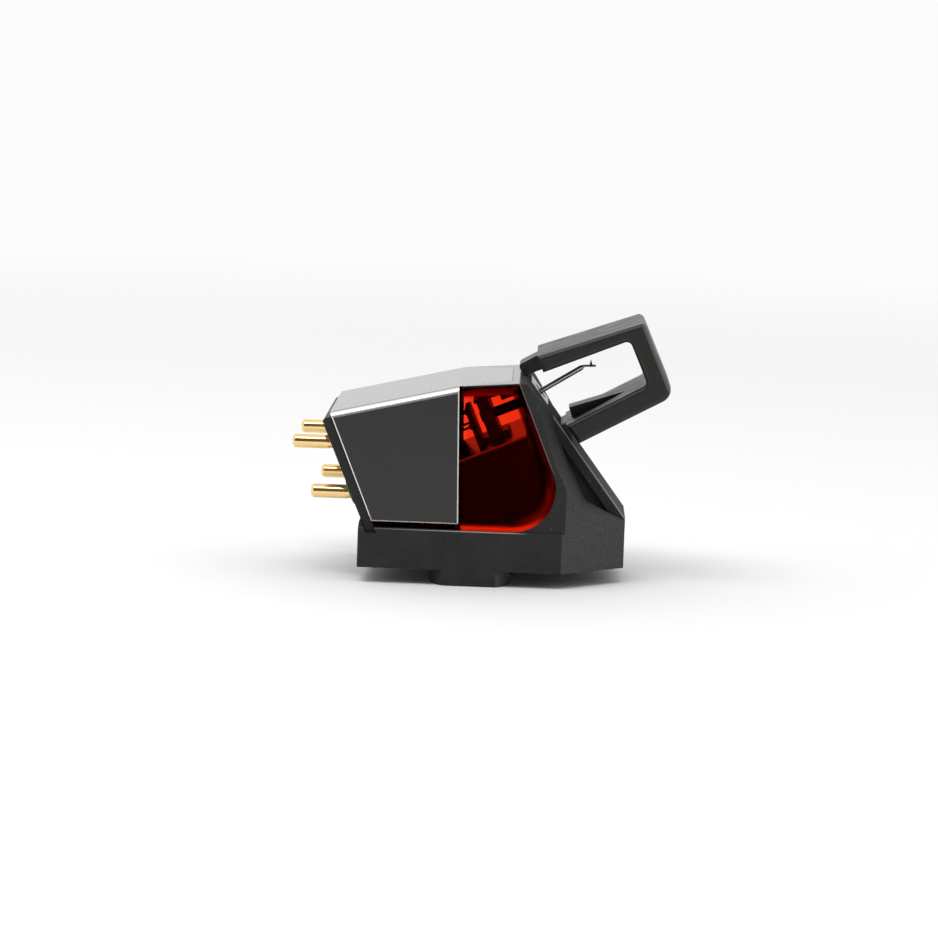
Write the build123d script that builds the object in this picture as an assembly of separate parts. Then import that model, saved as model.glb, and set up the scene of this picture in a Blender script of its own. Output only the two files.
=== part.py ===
from build123d import *
from math import cos, radians, sin, tan
import os

# A moving-coil cartridge for a record player, lying on its two mounting bosses with the
# stylus up. The origin is the middle of the mounting face, half way between the tapped
# holes. X runs forward to the stylus, Y across the body, Z away from the mounting face.
# Sizes are millimetres and degrees. A height is measured from the top of the base slab,
# and a reach forward or back is measured from the holes.

# Mounting face: two bosses, each with a blind tapped hole
BOLT_SPACING = 12.7
BOSS_RADIUS = 3.5
BOSS_HEIGHT = 1.35
TAP_RADIUS = 1.025
TAP_DEPTH = 4.0

# Base slab, its narrowed front and the lip behind the terminal board
BASE_WIDTH = 18.0
BASE_THICKNESS = 3.45
BASE_BEHIND = 9.66
BASE_AHEAD = 13.35
CHAMFER_START = 7.9
FRONT_WIDTH = 7.9
BASE_EDGE = 0.15
LIP_HEIGHT = 0.5
LIP_STEP = 0.13
LIP_TOP = 0.12
SLOT_DEPTH = 0.5
SLOT_GAP = 0.04

# Nose: sloping front face with a flange, hollow cheeks behind it
NOSE_DEPTH = 4.27
NOSE_HEIGHT = 12.82
NOSE_INSET = 0.2
NOSE_CORE_WIDTH = 6.8
FRONT_SLOPE = 53.0
FRONT_FOOT = 0.95
FLANGE_THICKNESS = 0.9
FLANGE_EDGE = 0.12
CHEEK_WALL_TOP = 1.05
CHEEK_WALL_MIDDLE = 0.45
CHEEK_WALL_LOW = 0.75
CHEEK_MIDDLE_HEIGHT = 6.2
POCKET_HEIGHT = 2.3
POCKET_FALL = 24.0
POCKET_ROUND = 1.0
CHEEK_SWEEP = 1.0

# Red housing, open at the rear
SHELL_INSET = 0.25
SHELL_WALL = 1.2
SHELL_FRONT_WALL = 0.45
SHELL_FLOOR = 0.2
FLOOR_BEHIND = 1.0
SHELL_ROOF = 0.5
SHELL_FRONT_LEAN = 22.6
SHELL_CORNER = 3.75
SHELL_EDGE = 0.4

# Roof line shared by the housing and its cover: two slopes that meet at a bend
BEND_BEHIND = 1.37
BEND_DROP = 0.42
ROOF_REAR_SLOPE = 13.3
ROOF_FRONT_SLOPE = 4.7

# Folded sheet cover
SHEET = 0.45
COVER_INSET = 0.15
COVER_GAP = 0.55
COVER_FRONT_BEHIND = 1.07
COVER_REAR_AHEAD = 0.65
COVER_REAR_LEAN = 22.5
COVER_BEND_RADIUS = 0.6
COVER_EDGE = 0.1
COVER_REBATE_GAP = 0.28
TONGUE_SETBACK = 0.65
TONGUE_WIDTH = 12.0
TONGUE_GAP = 0.03

# Terminal board, pins and their coloured collars
BOARD_BEHIND = 9.2
BOARD_LEAN = 23.1
BOARD_THICKNESS = 0.8
BOARD_SIDE_GAP = 0.05
BOARD_ROUND = 0.35
PIN_RADIUS = 0.6
PIN_SHANK = 0.4
PIN_ROOT_RADIUS = 0.52
PIN_ROOT_CLEAR = 0.06
PIN_TIP_CHAMFER = 0.2
PIN_TAIL = 1.0
PIN_FIT = 0.02
UPPER_PIN_INSET = 2.03
UPPER_PIN_HEIGHT = 6.86
UPPER_PIN_LENGTH = 3.56
LOWER_PIN_INSET = 0.84
LOWER_PIN_HEIGHT = 2.73
LOWER_PIN_LENGTH = 3.51
COLLAR_RADIUS = 1.05
COLLAR_THICKNESS = 0.18

# Generator: tilted block on a carrier, all set out from the pivot of the cantilever. The
# cantilever leaves the nose a little below its top, and the pivot lies behind that place.
EXIT_DOWN = 1.86
PIVOT_REACH = 1.565
GENERATOR_TILT = 23.0
PLATFORM_DROP = 2.1
CARRIER_REAR_GAP = 4.7
CARRIER_GAP = 0.1
CARRIER_FRONT_GAP = 0.6
CARRIER_LIFT = 0.3
WINDOW_WIDTH = 4.6
WINDOW_UP = 1.6
WINDOW_DOWN = 0.75
WINDOW_BACK = 3.0

# Rear yoke, magnet and front yoke
YOKE_BEHIND = 3.35
YOKE_WEB = 1.1
YOKE_FOOT_LENGTH = 2.5
YOKE_FOOT_THICKNESS = 0.5
YOKE_HEAD_BEHIND = 4.1
YOKE_HEAD_AHEAD = 1.3
YOKE_HEAD_THICKNESS = 0.3
YOKE_WIDTH = 4.6
MAGNET_BEHIND = 1.75
MAGNET_CLEAR = 0.95
MAGNET_THICKNESS = 0.55
MAGNET_WIDTH = 4.2
FRONT_YOKE_THICKNESS = 0.6
FRONT_YOKE_WIDTH = 5.6
FRONT_YOKE_UP = 1.35
FRONT_YOKE_DOWN = 1.13
FRONT_YOKE_HOLE = 0.75
FRONT_YOKE_PROUD = 0.08
YOKE_GAP = 0.03

# Suspension: pole pin, tie wire, grub screw and rubber damper
POLE_RADIUS = 0.45
POLE_TAIL = 0.2
POLE_BORE = 0.07
POLE_FIT = 0.01
WIRE_RADIUS = 0.05
DAMPER_RADIUS = 0.7
DAMPER_BORE = 0.12
DAMPER_THICKNESS = 0.35
DAMPER_GAP = 0.05
SCREW_RADIUS = 0.35
SCREW_PROUD = 0.15
SCREW_SLOT = 0.12
SCREW_SLOT_DEPTH = 0.2

# Moving system: former, two crossed coils, cantilever and stylus
CANTILEVER_TILT = 32.2
CANTILEVER_LENGTH = 5.75
CANTILEVER_RADIUS = 0.23
CANTILEVER_BORE = 0.15
CANTILEVER_START = 0.08
FORMER_START = 0.32
FORMER_SIZE = 1.0
FORMER_THICKNESS = 0.25
FORMER_FIT = 0.01
COIL_THICKNESS = 0.06
COIL_WIDTH = 0.6
TIP_TILT = 3.0
TIP_CRUSH = 0.32
TIP_LENGTH = 1.0
TIP_WIDTH = 0.5
TIP_THICKNESS = 0.2
STYLUS_BACK = 0.42
STYLUS_RADIUS = 0.13
STYLUS_POINT = 0.012
STYLUS_HEIGHT = 0.46

# Lead board behind the rear yoke and the four leads to the pins
LEAD_BOARD_THICKNESS = 0.45
LEAD_BOARD_WIDTH = 5.2
LEAD_BOARD_UP = 1.4
LEAD_RADIUS = 0.11
LEAD_FLAT_COUNT = 8
LEAD_BEND = 0.8
UPPER_LEAD_SPACING = 1.6
UPPER_LEAD_UP = 0.9
LOWER_LEAD_SPACING = 4.0
LOWER_LEAD_UP = -0.3
LEAD_RUN = 1.6
PIN_LEAD_RUN = 1.5

# Stylus guard: a bent bar round the stylus, with a tenon, a tongue and a stiffening rib
GUARD_WIDTH = 11.0
GUARD_SEAT = 3.2
GUARD_PULL_TILT = 28.8
GUARD_FLOOR_LENGTH = 8.37
GUARD_END_TILT = 114.0
GUARD_END_RISE = 4.1
GUARD_ROOF_TILT = 22.4
GUARD_ROOF_TAPER = 2.8
GUARD_FLOOR_THICKNESS = 1.93
GUARD_END_THICKNESS = 1.8
GUARD_END_ROUND = 3.0
GUARD_SHOULDER = 1.5
GUARD_ROOF_THICKNESS = 1.5
GUARD_ROOF_START = 5.75
GUARD_CORNER = 0.5
GUARD_TOE_ROUND = 1.2
GUARD_EDGE = 0.4
GUARD_STANDOFF = 0.5
TENON_WIDTH = 6.4
TENON_THICKNESS = 1.1
TENON_DEPTH = 0.8
TENON_GAP = 0.06
CATCH_WIDTH = 3.8
CATCH_END = 3.48
CATCH_RISE = 0.85
CATCH_TILT = 30.0
CATCH_ROUND = 0.35
CATCH_OVERLAP = 0.4
CATCH_GAP = 0.05
RIB_WIDTH = 3.0
RIB_START = 1.1
RIB_SLANT = 0.15
RIB_LENGTH = 5.2
RIB_HEIGHT = 0.9

# Places worked out from the sizes above
BASE_TOP = BOSS_HEIGHT + BASE_THICKNESS
BASE_HALF = BASE_WIDTH / 2
NOSE_TOP = BASE_TOP + NOSE_HEIGHT
NOSE_HALF = BASE_HALF - NOSE_INSET
SHELL_HALF = BASE_HALF - SHELL_INSET
CAVITY_HALF = SHELL_HALF - SHELL_WALL
COVER_HALF = BASE_HALF - COVER_INSET
COVER_INNER_HALF = COVER_HALF - SHEET
COVER_BOTTOM = BASE_TOP + COVER_GAP
CAVITY_FLOOR = BASE_TOP + SHELL_FLOOR
BEND = (-BEND_BEHIND, NOSE_TOP - BEND_DROP)
BEYOND = BASE_BEHIND + BASE_AHEAD


# Side-view lines are (x, z, direction in degrees). Left of a line is up for one that runs
# forward, and backwards for one that runs up.
def shift(line, left):
    """The same line moved to its left."""
    x, z, tilt = line
    return x - left * sin(radians(tilt)), z + left * cos(radians(tilt)), tilt


def along(line, distance):
    """Side-view point a distance along a line from its start."""
    x, z, tilt = line
    return x + distance * cos(radians(tilt)), z + distance * sin(radians(tilt))


def meet(line_a, line_b):
    """Side-view point where two lines cross."""
    ax, az, a_tilt = line_a
    bx, bz, b_tilt = line_b
    turn = sin(radians(b_tilt - a_tilt))
    reach = ((bx - ax) * sin(radians(b_tilt)) - (bz - az) * cos(radians(b_tilt))) / turn
    return along(line_a, reach)


def level(height):
    return 0, height, 0


def upright(x):
    return x, 0, 90


ROOF_REAR = (*BEND, ROOF_REAR_SLOPE)
ROOF_FRONT = (*BEND, ROOF_FRONT_SLOPE)
SHELL_FRONT = (BASE_AHEAD - NOSE_DEPTH, BASE_TOP, 90 + SHELL_FRONT_LEAN)
BOARD_REAR = (-BOARD_BEHIND, BASE_TOP, 90 + BOARD_LEAN)
BOARD_FRONT = shift(BOARD_REAR, -BOARD_THICKNESS)
NOSE_FRONT = (BASE_AHEAD, BASE_TOP + FRONT_FOOT, 180 - FRONT_SLOPE)
EXIT = along((*meet(NOSE_FRONT, level(NOSE_TOP)), -FRONT_SLOPE), EXIT_DOWN)
PIVOT = along((*EXIT, CANTILEVER_TILT), -PIVOT_REACH)
PLATFORM = shift((*PIVOT, GENERATOR_TILT), -PLATFORM_DROP)
CANTILEVER_LINE = (*PIVOT, CANTILEVER_TILT)
GUARD_FOOT = along((*EXIT, -FRONT_SLOPE), GUARD_SEAT)


def tilted(point, tilt):
    """Frame at a side-view point whose first axis runs forward at a tilt."""
    turn = radians(tilt)
    return Plane((point[0], 0, point[1]), x_dir=(cos(turn), 0, sin(turn)), z_dir=(-sin(turn), 0, cos(turn)))


GENERATOR = tilted(PIVOT, GENERATOR_TILT)
MOVING = tilted(PIVOT, CANTILEVER_TILT)
FRONT = tilted(EXIT, 90 - FRONT_SLOPE)
PULL = tilted(GUARD_FOOT, GUARD_PULL_TILT)


def outline(points, radii=None):
    """Side-view face from (x, z) points, with a radius for each corner if given."""
    if radii is None:
        return Plane.XZ * make_face(Polyline(*points, close=True))
    return Plane.XZ * make_face(FilletPolyline(*points, radius=radii, close=True))


def across(face, half_width):
    """Solid that carries a side-view face out to both sides."""
    return extrude(face, amount=half_width, both=True)


def block(low, high):
    """Box between two opposite corners."""
    size = [b - a for a, b in zip(low, high)]
    middle = [(a + b) / 2 for a, b in zip(low, high)]
    return Pos(*middle) * Box(*size)


def rod(radius, start, end):
    """Cylinder along X from start to end."""
    return Pos((start + end) / 2, 0, 0) * Rot(0, 90, 0) * Cylinder(radius, end - start)


def edge_near(solid, x, y, z):
    """Edge of a solid that passes nearest to a point."""
    return solid.edges().sort_by_distance(Vector(x, y, z))[0]


def halfway(point_a, point_b):
    return (point_a[0] + point_b[0]) / 2, (point_a[1] + point_b[1]) / 2


def mirrored(solid):
    """A solid together with its image on the other side of the body."""
    return solid + mirror(solid, about=Plane.XZ)


# Housing and cover
def shell_outline():
    """Side view of the red housing, with the large round at its lower front corner."""
    points = [
        meet(BOARD_FRONT, level(BASE_TOP)),
        meet(SHELL_FRONT, level(BASE_TOP)),
        meet(SHELL_FRONT, ROOF_FRONT),
        BEND,
        meet(ROOF_REAR, BOARD_FRONT),
    ]
    return outline(points, [0, SHELL_CORNER, 0, 0, 0])


def under_roof(depth, half_width):
    """Everything below the roof line by a depth and between the sides."""
    rear = shift(ROOF_REAR, -depth)
    front = shift(ROOF_FRONT, -depth)
    points = [
        (-BEYOND, 0),
        (BEYOND, 0),
        meet(front, upright(BEYOND)),
        meet(rear, front),
        meet(rear, upright(-BEYOND)),
    ]
    return across(outline(points), half_width)


def tongue(gap):
    """Tapered front of the cover's top, grown sideways by a gap."""
    root = COVER_INNER_HALF + gap
    end = TONGUE_WIDTH / 2 + gap
    reach = meet(SHELL_FRONT, ROOF_FRONT)[0] - TONGUE_SETBACK + gap
    corners = [(-BEND_BEHIND, -root), (reach, -end), (reach, end), (-BEND_BEHIND, root)]
    column = extrude(make_face(Polyline(*corners, close=True)), amount=BEYOND)
    sheet = under_roof(0, BASE_HALF) - under_roof(SHEET, BASE_WIDTH)
    return column & sheet


def metal_cover():
    foot_rear = (COVER_REAR_AHEAD - BOARD_BEHIND, COVER_BOTTOM)
    rear = (*foot_rear, 90 + COVER_REAR_LEAN)
    foot_front = (-COVER_FRONT_BEHIND, COVER_BOTTOM)
    top_rear = meet(ROOF_REAR, rear)
    panel = across(outline([foot_rear, foot_front, BEND, top_rear]), COVER_HALF)
    for pair in ((foot_rear, foot_front), (foot_front, BEND), (top_rear, foot_rear)):
        x, z = halfway(*pair)
        edges = [edge_near(panel, x, side * COVER_HALF, z) for side in (-1, 1)]
        panel = chamfer(edges, COVER_EDGE)
    x, z = halfway(top_rear, BEND)
    bends = [edge_near(panel, x, side * COVER_HALF, z) for side in (-1, 1)]
    panel = fillet(bends, COVER_BEND_RADIUS)
    return panel - under_roof(SHEET, COVER_INNER_HALF) + tongue(0)


def body_shell():
    solid = across(shell_outline(), SHELL_HALF)
    x, z = halfway(BEND, meet(SHELL_FRONT, ROOF_FRONT))
    edges = [edge_near(solid, x, side * SHELL_HALF, z) for side in (-1, 1)]
    solid = fillet(edges, SHELL_EDGE)
    covered = [
        (-BEYOND, 0),
        (COVER_REBATE_GAP - COVER_FRONT_BEHIND, BASE_TOP),
        (COVER_REBATE_GAP - BEND_BEHIND, BEND[1]),
        (COVER_REBATE_GAP - BEND_BEHIND, BEYOND),
        (-BEYOND, BEYOND),
    ]
    rebate = across(outline(covered), BASE_HALF) - under_roof(SHEET, COVER_INNER_HALF)
    solid -= rebate + tongue(TONGUE_GAP)
    return solid - cavity() - generator_window() - front_yoke_seat()


def cavity():
    """Inside of the housing, open to the rear and with a floor only under its window."""
    front = shift(SHELL_FRONT, SHELL_FRONT_WALL)
    roof_rear = shift(ROOF_REAR, -SHEET - SHELL_ROOF)
    roof_front = shift(ROOF_FRONT, -SHEET - SHELL_ROOF)
    points = [
        (-BEYOND, 0),
        (-FLOOR_BEHIND, 0),
        (-FLOOR_BEHIND, CAVITY_FLOOR),
        meet(front, level(CAVITY_FLOOR)),
        meet(front, roof_front),
        meet(roof_rear, roof_front),
        meet(roof_rear, upright(-BEYOND)),
    ]
    radii = [0, 0, 0, SHELL_CORNER - SHELL_FRONT_WALL, 0, 0, 0]
    return across(outline(points, radii), CAVITY_HALF)


def generator_window():
    """Opening in the front of the housing and the nose for the generator."""
    half = WINDOW_WIDTH / 2
    return GENERATOR * block((-WINDOW_BACK, -half, -WINDOW_DOWN), (BASE_AHEAD, half, WINDOW_UP))


# Base and nose
def nose_pocket():
    """Cutter for the hollow in one cheek of the nose, swept inwards and a little forwards."""
    top = NOSE_TOP
    middle = BASE_TOP + CHEEK_MIDDLE_HEIGHT
    low = BASE_TOP + POCKET_HEIGHT
    start = (meet(SHELL_FRONT, level(top))[0] + CHEEK_WALL_TOP, top)
    waist = (meet(SHELL_FRONT, level(middle))[0] + CHEEK_WALL_MIDDLE, middle)
    foot = (meet(SHELL_FRONT, level(low))[0] + CHEEK_WALL_LOW, low)
    floor_end = meet((*foot, -POCKET_FALL), upright(BEYOND))
    points = [start, waist, foot, floor_end, (BEYOND, top)]
    face = Pos(0, -NOSE_HALF, 0) * outline(points, [0, BEYOND, POCKET_ROUND, 0, 0])
    depth = NOSE_HALF - NOSE_CORE_WIDTH / 2
    sweep = Vector(CHEEK_SWEEP, depth, 0)
    flange = FRONT * block(
        (-FLANGE_THICKNESS, -FRONT_WIDTH / 2, -BEYOND),
        (BEYOND, FRONT_WIDTH / 2, BEYOND),
    )
    return extrude(face, amount=sweep.length, dir=sweep.normalized()) - flange


def base_slab():
    """Slab with the slot for the terminal board and the lip behind it."""
    slot_floor = level(BASE_TOP - SLOT_DEPTH)
    slot_front = shift(BOARD_FRONT, -SLOT_GAP)
    slot_rear = shift(BOARD_REAR, SLOT_GAP)
    lip_front = meet(slot_rear, level(BASE_TOP + LIP_HEIGHT))
    points = [
        (-BASE_BEHIND, BOSS_HEIGHT),
        (BASE_AHEAD, BOSS_HEIGHT),
        (BASE_AHEAD, BASE_TOP),
        meet(slot_front, level(BASE_TOP)),
        meet(slot_front, slot_floor),
        meet(slot_rear, slot_floor),
        lip_front,
        (lip_front[0] - LIP_TOP, lip_front[1]),
        (-BASE_BEHIND, BASE_TOP - LIP_STEP),
    ]
    return across(outline(points), BASE_HALF)


def nose_blank():
    """Wedge in front of the housing, up to the sloping front face."""
    points = [
        (meet(SHELL_FRONT, level(NOSE_TOP))[0] - SHELL_CORNER, BASE_TOP),
        meet(SHELL_FRONT, level(NOSE_TOP)),
        meet(NOSE_FRONT, level(NOSE_TOP)),
        along(NOSE_FRONT, 0),
        (BASE_AHEAD, BASE_TOP),
    ]
    return across(outline(points), NOSE_HALF) - across(shell_outline(), BASE_HALF)


def base_plan():
    """Column with the plan of the base, square at the rear and narrowed at the front."""
    front = FRONT_WIDTH / 2
    points = [
        (-BASE_BEHIND, -BASE_HALF),
        (CHAMFER_START, -BASE_HALF),
        (BASE_AHEAD, -front),
        (BASE_AHEAD, front),
        (CHAMFER_START, BASE_HALF),
        (-BASE_BEHIND, BASE_HALF),
    ]
    return extrude(make_face(FilletPolyline(*points, radius=BASE_EDGE, close=True)), amount=BEYOND)


def bosses():
    """The two round bosses, cut flush with the sides of the base."""
    solid = Part()
    for side in (-1, 1):
        place = Pos(0, side * BOLT_SPACING / 2, BOSS_HEIGHT / 2)
        solid += place * Cylinder(BOSS_RADIUS, BOSS_HEIGHT)
    return solid & block((-BASE_BEHIND, -BASE_HALF, 0), (BASE_AHEAD, BASE_HALF, BOSS_HEIGHT))


def tapped_holes():
    solid = Part()
    for side in (-1, 1):
        solid += Pos(0, side * BOLT_SPACING / 2, TAP_DEPTH / 2) * Cylinder(TAP_RADIUS, TAP_DEPTH)
    return solid


def front_yoke_seat():
    """Recess for the front yoke in the sloping front face."""
    half = FRONT_YOKE_WIDTH / 2 + YOKE_GAP
    low = (FRONT_YOKE_PROUD - FRONT_YOKE_THICKNESS, -half, -FRONT_YOKE_DOWN - YOKE_GAP)
    return FRONT * block(low, (BASE_AHEAD, half, FRONT_YOKE_UP + YOKE_GAP))


def tenon(gap):
    """Tenon of the guard's lower bar, grown all round by a gap."""
    half = TENON_WIDTH / 2 + gap
    low = (-TENON_DEPTH - gap, -half, -TENON_THICKNESS - gap)
    return PULL * block(low, (GUARD_STANDOFF + TENON_DEPTH, half, gap))


def mounting_base():
    body = (base_slab() + nose_blank()) & base_plan()
    body -= mirrored(nose_pocket())
    x, z = along(NOSE_FRONT, NOSE_HEIGHT / 2)
    rims = [edge_near(body, x, side * FRONT_WIDTH / 2, z) for side in (-1, 1)]
    body = chamfer(rims, FLANGE_EDGE)
    body -= generator_window()
    body -= front_yoke_seat()
    body -= tenon(TENON_GAP)
    return body + bosses() - tapped_holes()


# Terminals
def board_x(line, height):
    return meet(line, level(height))[0]


def pins():
    """Height, side position and tip position of each pin by name."""
    upper = (BASE_TOP + UPPER_PIN_HEIGHT, CAVITY_HALF - UPPER_PIN_INSET, UPPER_PIN_LENGTH)
    lower = (BASE_TOP + LOWER_PIN_HEIGHT, CAVITY_HALF - LOWER_PIN_INSET, LOWER_PIN_LENGTH)
    places = {}
    for channel, side in (("right", -1), ("left", 1)):
        for role, (height, spread, length) in (("signal", upper), ("ground", lower)):
            tip = board_x(BOARD_REAR, height) - length
            places[f"{channel}_{role}"] = (height, side * spread, tip)
    return places


def pin_tail(height):
    """Where the inner end of a pin stops inside the housing."""
    return board_x(BOARD_FRONT, height) + PIN_TAIL


def ahead_of(line):
    """Everything in front of a line that runs up the rear."""
    points = [
        meet(line, level(0)),
        (BEYOND, 0),
        (BEYOND, BEYOND),
        meet(line, level(BEYOND)),
    ]
    return across(outline(points), BEYOND)


def pin(height, side, tip):
    """Turned pin with a chamfered end, a root cut to the slope of the board and a thin shank."""
    seat = shift(BOARD_REAR, COLLAR_THICKNESS)
    root_end = board_x(seat, height - PIN_RADIUS)
    root_start = board_x(seat, height + PIN_RADIUS) - PIN_ROOT_CLEAR
    solid = rod(PIN_RADIUS, tip, root_start)
    rim = solid.edges().filter_by(GeomType.CIRCLE).sort_by(Axis.X)[0]
    solid = chamfer(rim, PIN_TIP_CHAMFER)
    middle = Pos((root_start + root_end) / 2, 0, 0) * Rot(0, 90, 0)
    solid += middle * Cone(PIN_RADIUS, PIN_ROOT_RADIUS, root_end - root_start)
    solid = Pos(0, side, height) * solid - ahead_of(seat)
    return solid + Pos(0, side, height) * rod(PIN_SHANK, root_start, pin_tail(height))


def collar(height, side):
    """Flat coloured ring on the board, round the root of a pin."""
    root = board_x(BOARD_REAR, height)
    ring = tilted((root, height), BOARD_LEAN) * rod(COLLAR_RADIUS, -COLLAR_THICKNESS, 0)
    bore = Pos(0, 0, height) * rod(PIN_SHANK + PIN_FIT, root - BEYOND, root + BEYOND)
    return Pos(0, side, 0) * (ring - bore)


def terminal_board():
    roof = shift(ROOF_REAR, -SHEET)
    floor = level(BASE_TOP - SLOT_DEPTH)
    points = [
        meet(BOARD_REAR, floor),
        meet(BOARD_FRONT, floor),
        meet(BOARD_FRONT, roof),
        meet(BOARD_REAR, roof),
    ]
    solid = across(outline(points, [0, 0, 0, BOARD_ROUND]), COVER_INNER_HALF - BOARD_SIDE_GAP)
    for height, side, tip in pins().values():
        solid -= Pos(0, side, height) * rod(PIN_SHANK + PIN_FIT, tip, BEYOND)
    return solid


# Generator
def generator_carrier():
    """Block that stands on the base at its rear and is clear of the housing's floor and front."""
    rear = CARRIER_REAR_GAP - BOARD_BEHIND
    step = -FLOOR_BEHIND - CARRIER_GAP
    underside = CAVITY_FLOOR + CARRIER_LIFT
    front_gap = SHELL_FRONT_WALL + CARRIER_FRONT_GAP
    front = shift(SHELL_FRONT, front_gap)
    points = [
        (rear, BASE_TOP),
        (step, BASE_TOP),
        (step, underside),
        meet(front, level(underside)),
        meet(front, PLATFORM),
        meet(PLATFORM, upright(rear)),
    ]
    radii = [0, 0, 0, SHELL_CORNER - front_gap, 0, 0]
    return across(outline(points, radii), CAVITY_HALF - CARRIER_GAP)


def rear_yoke():
    half = YOKE_WIDTH / 2
    web = YOKE_WEB / 2
    foot = YOKE_FOOT_LENGTH / 2
    head_low = MAGNET_CLEAR + MAGNET_THICKNESS
    head_top = head_low + YOKE_HEAD_THICKNESS
    floor = -PLATFORM_DROP
    solid = block((-YOKE_BEHIND - web, -half, floor), (-YOKE_BEHIND + web, half, head_top))
    solid += block(
        (-YOKE_BEHIND - foot, -half, floor),
        (-YOKE_BEHIND + foot, half, floor + YOKE_FOOT_THICKNESS),
    )
    solid += block((-YOKE_HEAD_BEHIND, -half, head_low), (-YOKE_HEAD_AHEAD, half, head_top))
    solid -= rod(POLE_RADIUS + POLE_FIT, -YOKE_BEHIND - YOKE_WEB, -YOKE_BEHIND + YOKE_WEB)
    solid -= Pos(-YOKE_BEHIND, 0, head_top / 2) * Cylinder(SCREW_RADIUS + POLE_FIT, head_top)
    return GENERATOR * solid


def front_yoke():
    half = FRONT_YOKE_WIDTH / 2
    back = FRONT_YOKE_PROUD - FRONT_YOKE_THICKNESS
    plate = block((back, -half, -FRONT_YOKE_DOWN), (FRONT_YOKE_PROUD, half, FRONT_YOKE_UP))
    return FRONT * (plate - rod(FRONT_YOKE_HOLE, -FRONT_YOKE_THICKNESS, FRONT_YOKE_THICKNESS))


def magnet():
    half = MAGNET_WIDTH / 2
    top = MAGNET_CLEAR + MAGNET_THICKNESS
    bar = GENERATOR * block((-MAGNET_BEHIND, -half, MAGNET_CLEAR), (BASE_AHEAD, half, top))
    back = FRONT_YOKE_PROUD - FRONT_YOKE_THICKNESS
    return bar - FRONT * block((back, -BASE_HALF, -BEYOND), (BEYOND, BASE_HALF, BEYOND))


def pole_front():
    return -DAMPER_THICKNESS - DAMPER_GAP


def pole_rear():
    return -YOKE_BEHIND - YOKE_WEB / 2 - POLE_TAIL


def pole_pin():
    solid = rod(POLE_RADIUS, pole_rear(), pole_front())
    return GENERATOR * (solid - rod(POLE_BORE, pole_rear(), pole_front()))


def suspension_wire():
    return GENERATOR * rod(WIRE_RADIUS, pole_rear(), 0)


def clamp_screw():
    bottom = POLE_RADIUS
    top = MAGNET_CLEAR + MAGNET_THICKNESS + YOKE_HEAD_THICKNESS + SCREW_PROUD
    place = Pos(-YOKE_BEHIND, 0, (bottom + top) / 2)
    solid = place * Cylinder(SCREW_RADIUS, top - bottom)
    solid -= block(
        (-YOKE_BEHIND - SCREW_SLOT / 2, -SCREW_RADIUS, top - SCREW_SLOT_DEPTH),
        (-YOKE_BEHIND + SCREW_SLOT / 2, SCREW_RADIUS, top),
    )
    solid -= rod(POLE_RADIUS + POLE_FIT, -YOKE_BEHIND - YOKE_WEB, -YOKE_BEHIND + YOKE_WEB)
    return GENERATOR * solid


def damper_ring():
    solid = rod(DAMPER_RADIUS, -DAMPER_THICKNESS, 0)
    return GENERATOR * (solid - rod(DAMPER_BORE, -DAMPER_THICKNESS, 0))


# Moving system
def coil_former():
    half = FORMER_SIZE / 2
    end = FORMER_START + FORMER_THICKNESS
    plate = block((FORMER_START, -half, -half), (end, half, half))
    return MOVING * (plate - rod(CANTILEVER_RADIUS + FORMER_FIT, 0, CANTILEVER_LENGTH))


def coil(layer, turned):
    """One winding round the former; the second layer lies over the first, a quarter turn on."""
    half = FORMER_SIZE / 2
    inner = layer * COIL_THICKNESS
    outer = inner + COIL_THICKNESS
    end = FORMER_START + FORMER_THICKNESS
    spread = COIL_WIDTH / 2
    solid = block(
        (FORMER_START - outer, -spread, -half - COIL_THICKNESS),
        (end + outer, spread, half + COIL_THICKNESS),
    )
    solid -= block((FORMER_START - inner, -spread, -half), (end + inner, spread, half))
    solid = Rot(turned, 0, 0) * solid
    return MOVING * (solid - rod(CANTILEVER_RADIUS + FORMER_FIT, 0, CANTILEVER_LENGTH))


def tip_frame():
    """Frame at the start of the crushed tip of the cantilever."""
    return tilted(along(CANTILEVER_LINE, CANTILEVER_LENGTH + TIP_CRUSH), TIP_TILT)


def cantilever():
    tube = rod(CANTILEVER_RADIUS, CANTILEVER_START, CANTILEVER_LENGTH)
    tube -= rod(CANTILEVER_BORE, CANTILEVER_START, CANTILEVER_LENGTH)
    end = tilted(along(CANTILEVER_LINE, CANTILEVER_LENGTH), CANTILEVER_TILT)
    round_end = Plane(end.origin, x_dir=(0, 1, 0), z_dir=end.x_dir) * Circle(CANTILEVER_RADIUS)
    tip = tip_frame()
    flat = Plane(tip.origin, x_dir=(0, 1, 0), z_dir=tip.x_dir)
    flat_end = flat * Ellipse(TIP_WIDTH / 2, TIP_THICKNESS / 2)
    crush = loft([round_end, flat_end], ruled=True)
    return MOVING * tube + crush + extrude(flat_end, amount=TIP_LENGTH) - stylus_shank()


def stylus_place():
    return tip_frame() * Pos(TIP_LENGTH - STYLUS_BACK, 0, 0)


def stylus_shank():
    """Hole in the tip that the stylus is set in."""
    return stylus_place() * Cylinder(STYLUS_RADIUS, TIP_THICKNESS * 2)


def stylus():
    root = -TIP_THICKNESS / 2
    point = stylus_place() * Pos(0, 0, -root + STYLUS_HEIGHT / 2)
    solid = point * Cone(STYLUS_RADIUS, STYLUS_POINT, STYLUS_HEIGHT)
    return solid + stylus_place() * Cylinder(STYLUS_RADIUS, TIP_THICKNESS)


# Leads
def lead_board_rear():
    return -YOKE_BEHIND - YOKE_FOOT_LENGTH / 2 - LEAD_BOARD_THICKNESS


def lead_board():
    half = LEAD_BOARD_WIDTH / 2
    front = lead_board_rear() + LEAD_BOARD_THICKNESS
    return GENERATOR * block((lead_board_rear(), -half, -PLATFORM_DROP), (front, half, LEAD_BOARD_UP))


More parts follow.
